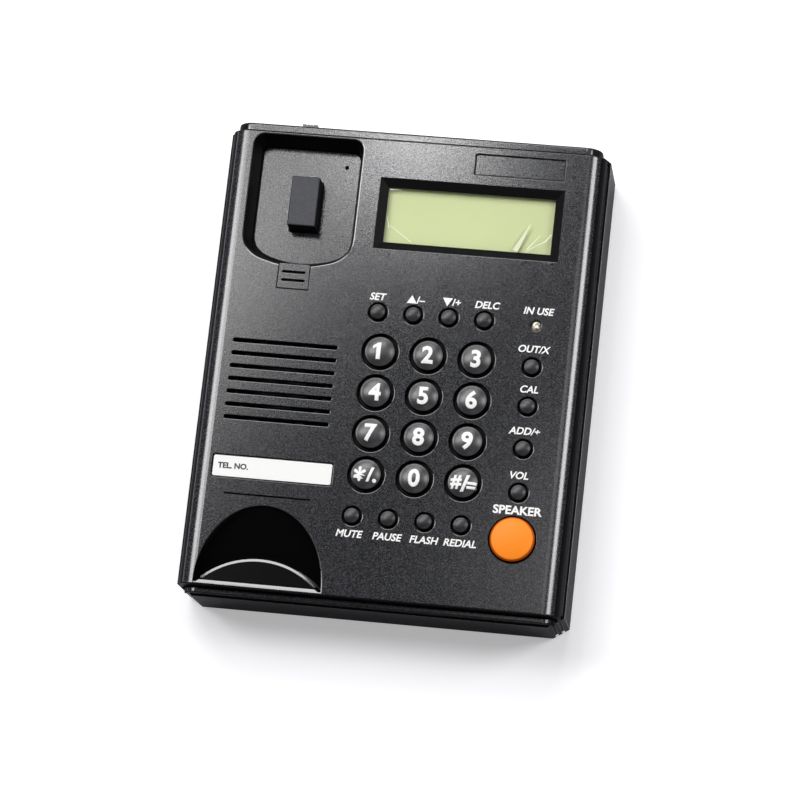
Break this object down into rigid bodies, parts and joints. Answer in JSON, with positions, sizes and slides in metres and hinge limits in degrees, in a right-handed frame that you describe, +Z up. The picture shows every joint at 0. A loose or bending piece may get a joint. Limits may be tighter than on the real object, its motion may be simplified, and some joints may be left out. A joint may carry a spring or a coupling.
{
  "type": "caller id telephone",
  "caption": "Base unit of a desk telephone with caller ID display, push buttons, handset recesses, loudspeaker grille and sprung hook plunger.",
  "frame": {"origin": "under the middle of the housing, on the surface that its feet stand on", "axes": "+X to the right as seen by the person who dials, +Y to the back, +Z up"},
  "size_m": [0.1588, 0.2003, 0.0454],
  "materials": {
    "cover_plastic": "spark-textured black ABS",
    "base_plastic": "finely textured black ABS",
    "key_plastic": "satin black",
    "orange_plastic": "satin orange",
    "clear_window": "clear acrylic",
    "display_film": "pale green liquid crystal display",
    "circuit_board": "green solder resist",
    "card_stock": "white card",
    "lamp_clear": "clear lamp body",
    "mat_rubber": "grey silicone rubber",
    "foot_rubber": "black rubber",
    "steel": "zinc-plated steel",
    "ferrite": "dark ferrite",
    "cone_paper": "black paper cone",
    "cell_sleeve": "plain grey sleeve",
    "jack_plastic": "black moulded socket"
  },
  "bodies": {
    "housing": {"top_cover": "cover_plastic", "bottom_cover": "base_plastic", "display_lens": "clear_window", "display_panel": "display_film", "display_board": "circuit_board", "number_card": "card_stock", "indicator_lamp": "lamp_clear", "keypad_mat": "mat_rubber", "keypad_board": "circuit_board", "main_board": "circuit_board", "loudspeaker_basket": "steel", "loudspeaker_cone": "cone_paper", "loudspeaker_magnet": "ferrite", "microphone": "steel", "hook_switch": "jack_plastic", "ringer_switch": "steel", "line_jack": "jack_plastic", "handset_jack": "jack_plastic", "battery_1": "cell_sleeve", "battery_2": "cell_sleeve", "battery_3": "cell_sleeve", "battery_contact_front": "steel", "battery_contact_back": "steel", "foot_1": "foot_rubber", "foot_2": "foot_rubber", "foot_3": "foot_rubber", "foot_4": "foot_rubber", "case_screw_1": "steel", "case_screw_2": "steel", "case_screw_3": "steel", "case_screw_4": "steel"},
    "key_1": {"key_1": "key_plastic"},
    "key_2": {"key_2": "key_plastic"},
    "key_3": {"key_3": "key_plastic"},
    "key_4": {"key_4": "key_plastic"},
    "key_5": {"key_5": "key_plastic"},
    "key_6": {"key_6": "key_plastic"},
    "key_7": {"key_7": "key_plastic"},
    "key_8": {"key_8": "key_plastic"},
    "key_9": {"key_9": "key_plastic"},
    "key_star": {"key_star": "key_plastic"},
    "key_0": {"key_0": "key_plastic"},
    "key_hash": {"key_hash": "key_plastic"},
    "key_set": {"key_set": "key_plastic"},
    "key_up": {"key_up": "key_plastic"},
    "key_down": {"key_down": "key_plastic"},
    "key_delete": {"key_delete": "key_plastic"},
    "key_mute": {"key_mute": "key_plastic"},
    "key_pause": {"key_pause": "key_plastic"},
    "key_flash": {"key_flash": "key_plastic"},
    "key_redial": {"key_redial": "key_plastic"},
    "key_out": {"key_out": "key_plastic"},
    "key_calculator": {"key_calculator": "key_plastic"},
    "key_add": {"key_add": "key_plastic"},
    "key_volume": {"key_volume": "key_plastic"},
    "key_speaker": {"key_speaker": "orange_plastic"},
    "hook_plunger": {"hook_plunger": "key_plastic"},
    "handset_tab": {"handset_tab": "cover_plastic"},
    "ringer_knob": {"ringer_knob": "key_plastic"},
    "battery_door": {"battery_door": "base_plastic"}
  },
  "joints": [
    {"name": "press_key_1", "type": "slide", "parent": "housing", "child": "key_1", "axis": [0, 0, -1], "range_m": [0, 0.0015], "stiffness_N_per_m": 400, "springref_m": -0.0005},
    {"name": "press_key_2", "type": "slide", "parent": "housing", "child": "key_2", "axis": [0, 0, -1], "range_m": [0, 0.0015], "stiffness_N_per_m": 400, "springref_m": -0.0005},
    {"name": "press_key_3", "type": "slide", "parent": "housing", "child": "key_3", "axis": [0, 0, -1], "range_m": [0, 0.0015], "stiffness_N_per_m": 400, "springref_m": -0.0005},
    {"name": "press_key_4", "type": "slide", "parent": "housing", "child": "key_4", "axis": [0, 0, -1], "range_m": [0, 0.0015], "stiffness_N_per_m": 400, "springref_m": -0.0005},
    {"name": "press_key_5", "type": "slide", "parent": "housing", "child": "key_5", "axis": [0, 0, -1], "range_m": [0, 0.0015], "stiffness_N_per_m": 400, "springref_m": -0.0005},
    {"name": "press_key_6", "type": "slide", "parent": "housing", "child": "key_6", "axis": [0, 0, -1], "range_m": [0, 0.0015], "stiffness_N_per_m": 400, "springref_m": -0.0005},
    {"name": "press_key_7", "type": "slide", "parent": "housing", "child": "key_7", "axis": [0, 0, -1], "range_m": [0, 0.0015], "stiffness_N_per_m": 400, "springref_m": -0.0005},
    {"name": "press_key_8", "type": "slide", "parent": "housing", "child": "key_8", "axis": [0, 0, -1], "range_m": [0, 0.0015], "stiffness_N_per_m": 400, "springref_m": -0.0005},
    {"name": "press_key_9", "type": "slide", "parent": "housing", "child": "key_9", "axis": [0, 0, -1], "range_m": [0, 0.0015], "stiffness_N_per_m": 400, "springref_m": -0.0005},
    {"name": "press_key_star", "type": "slide", "parent": "housing", "child": "key_star", "axis": [0, 0, -1], "range_m": [0, 0.0015], "stiffness_N_per_m": 400, "springref_m": -0.0005},
    {"name": "press_key_0", "type": "slide", "parent": "housing", "child": "key_0", "axis": [0, 0, -1], "range_m": [0, 0.0015], "stiffness_N_per_m": 400, "springref_m": -0.0005},
    {"name": "press_key_hash", "type": "slide", "parent": "housing", "child": "key_hash", "axis": [0, 0, -1], "range_m": [0, 0.0015], "stiffness_N_per_m": 400, "springref_m": -0.0005},
    {"name": "press_key_set", "type": "slide", "parent": "housing", "child": "key_set", "axis": [0, 0, -1], "range_m": [0, 0.0015], "stiffness_N_per_m": 400, "springref_m": -0.0005},
    {"name": "press_key_up", "type": "slide", "parent": "housing", "child": "key_up", "axis": [0, 0, -1], "range_m": [0, 0.0015], "stiffness_N_per_m": 400, "springref_m": -0.0005},
    {"name": "press_key_down", "type": "slide", "parent": "housing", "child": "key_down", "axis": [0, 0, -1], "range_m": [0, 0.0015], "stiffness_N_per_m": 400, "springref_m": -0.0005},
    {"name": "press_key_delete", "type": "slide", "parent": "housing", "child": "key_delete", "axis": [0, 0, -1], "range_m": [0, 0.0015], "stiffness_N_per_m": 400, "springref_m": -0.0005},
    {"name": "press_key_mute", "type": "slide", "parent": "housing", "child": "key_mute", "axis": [0, 0, -1], "range_m": [0, 0.0015], "stiffness_N_per_m": 400, "springref_m": -0.0005},
    {"name": "press_key_pause", "type": "slide", "parent": "housing", "child": "key_pause", "axis": [0, 0, -1], "range_m": [0, 0.0015], "stiffness_N_per_m": 400, "springref_m": -0.0005},
    {"name": "press_key_flash", "type": "slide", "parent": "housing", "child": "key_flash", "axis": [0, 0, -1], "range_m": [0, 0.0015], "stiffness_N_per_m": 400, "springref_m": -0.0005},
    {"name": "press_key_redial", "type": "slide", "parent": "housing", "child": "key_redial", "axis": [0, 0, -1], "range_m": [0, 0.0015], "stiffness_N_per_m": 400, "springref_m": -0.0005},
    {"name": "press_key_out", "type": "slide", "parent": "housing", "child": "key_out", "axis": [0, 0, -1], "range_m": [0, 0.0015], "stiffness_N_per_m": 400, "springref_m": -0.0005},
    {"name": "press_key_calculator", "type": "slide", "parent": "housing", "child": "key_calculator", "axis": [0, 0, -1], "range_m": [0, 0.0015], "stiffness_N_per_m": 400, "springref_m": -0.0005},
    {"name": "press_key_add", "type": "slide", "parent": "housing", "child": "key_add", "axis": [0, 0, -1], "range_m": [0, 0.0015], "stiffness_N_per_m": 400, "springref_m": -0.0005},
    {"name": "press_key_volume", "type": "slide", "parent": "housing", "child": "key_volume", "axis": [0, 0, -1], "range_m": [0, 0.0015], "stiffness_N_per_m": 400, "springref_m": -0.0005},
    {"name": "press_key_speaker", "type": "slide", "parent": "housing", "child": "key_speaker", "axis": [0, 0, -1], "range_m": [0, 0.0015], "stiffness_N_per_m": 400, "springref_m": -0.0005},
    {"name": "press_hook_plunger", "type": "slide", "parent": "housing", "child": "hook_plunger", "axis": [0, 0, -1], "range_m": [0, 0.006], "stiffness_N_per_m": 120, "springref_m": -0.004},
    {"name": "slide_handset_tab", "type": "slide", "parent": "housing", "child": "handset_tab", "axis": [0, 1, 0], "range_m": [0, 0.004]},
    {"name": "slide_ringer_knob", "type": "slide", "parent": "housing", "child": "ringer_knob", "axis": [1, 0, 0], "range_m": [-0.0015, 0.0015]},
    {"name": "slide_battery_door", "type": "slide", "parent": "housing", "child": "battery_door", "axis": [0, -1, 0], "range_m": [0, 0.005]}
  ]
}
